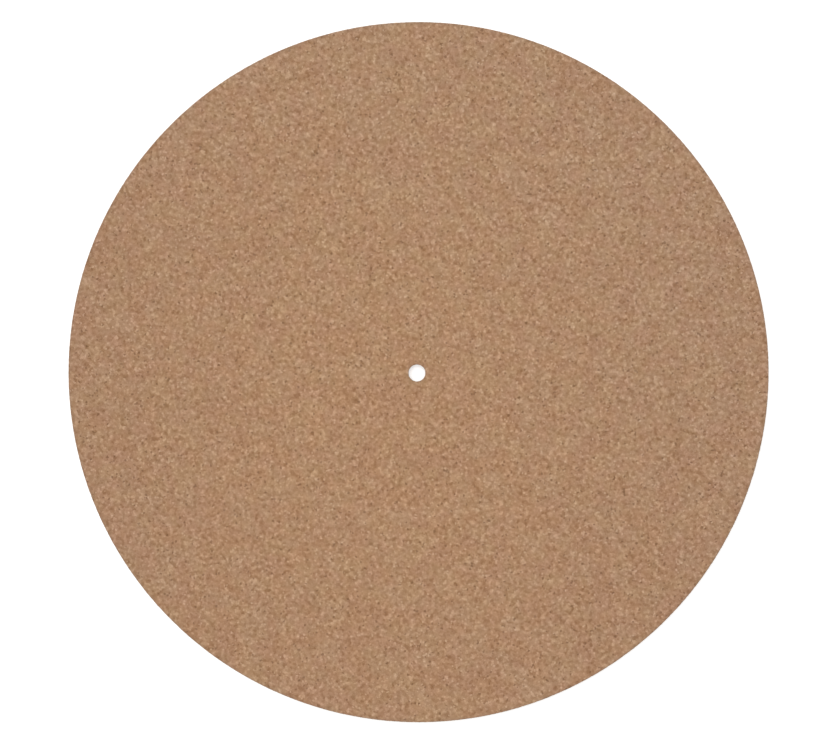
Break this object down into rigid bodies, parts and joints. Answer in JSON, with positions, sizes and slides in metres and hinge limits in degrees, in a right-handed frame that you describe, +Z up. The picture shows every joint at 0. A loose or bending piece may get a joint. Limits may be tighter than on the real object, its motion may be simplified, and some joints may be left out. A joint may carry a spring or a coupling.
{
  "type": "turntable platter mat",
  "caption": "Flat round mat die-cut from fine-grain agglomerated cork, with a centre hole for a turntable's spindle; it lies on the platter and carries the record.",
  "frame": {"origin": "centre of the spindle hole on the underside, which lies on the platter", "axes": "+Z up along the spindle; X and Y lie in the mat and are alike, because the mat is round"},
  "size_m": [0.3, 0.3, 0.003],
  "materials": {
    "cork": "matte"
  },
  "bodies": {
    "root": {"cork_mat": "cork"}
  },
  "joints": []
}
